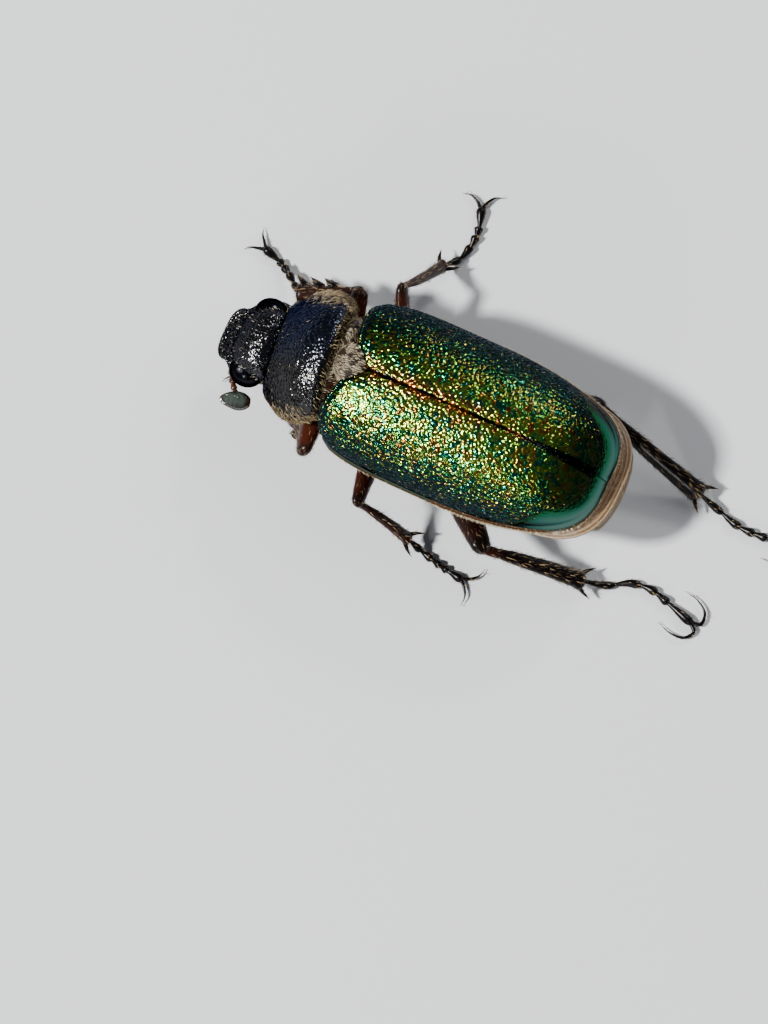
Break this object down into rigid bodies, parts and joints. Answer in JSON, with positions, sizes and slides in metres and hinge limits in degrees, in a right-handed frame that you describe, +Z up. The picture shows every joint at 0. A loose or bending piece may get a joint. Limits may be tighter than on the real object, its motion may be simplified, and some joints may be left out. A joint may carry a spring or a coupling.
{
  "type": "rose chafer beetle model",
  "caption": "Life-size still model of a small green rose chafer beetle standing on its six feet.",
  "frame": {"origin": "on the floor, under the middle of the box round the whole beetle, feet and claws included", "axes": "+Y towards the tail, +X towards the beetle's left side, +Z up"},
  "size_m": [0.0112, 0.0178, 0.0046],
  "materials": {
    "elytra": "beetle cuticle with a metallic green and gold gloss, grained like beaten metal",
    "dark_cuticle": "black beetle cuticle with a blue gloss, pitted and thinly haired",
    "underside": "dark brown cuticle under pale hairs",
    "pygidium": "brown cuticle under close pale hairs",
    "brown_cuticle": "dark red-brown cuticle with pale bristles",
    "antennae": "red-brown stalk with a dark leafed club",
    "feet": "shining black-brown cuticle",
    "eyes": "black, finely facetted, glossy"
  },
  "bodies": {
    "root": {"elytron_left": "elytra", "elytron_right": "elytra", "prothorax": "dark_cuticle", "head": "dark_cuticle", "scutellum": "dark_cuticle", "thorax": "underside", "abdomen": "underside", "pygidium": "pygidium", "eye_left": "eyes", "eye_right": "eyes", "mouthparts": "brown_cuticle", "antenna_left": "antennae", "antenna_right": "antennae", "palp_left": "brown_cuticle", "palp_right": "brown_cuticle", "coxa_front_left": "underside", "femur_front_left": "brown_cuticle", "tibia_front_left": "brown_cuticle", "tarsus_front_left": "feet", "coxa_front_right": "underside", "femur_front_right": "brown_cuticle", "tibia_front_right": "brown_cuticle", "tarsus_front_right": "feet", "coxa_mid_left": "underside", "femur_mid_left": "brown_cuticle", "tibia_mid_left": "brown_cuticle", "tarsus_mid_left": "feet", "coxa_mid_right": "underside", "femur_mid_right": "brown_cuticle", "tibia_mid_right": "brown_cuticle", "tarsus_mid_right": "feet", "coxa_hind_left": "underside", "femur_hind_left": "brown_cuticle", "tibia_hind_left": "brown_cuticle", "tarsus_hind_left": "feet", "coxa_hind_right": "underside", "femur_hind_right": "brown_cuticle", "tibia_hind_right": "brown_cuticle", "tarsus_hind_right": "feet"}
  },
  "joints": []
}
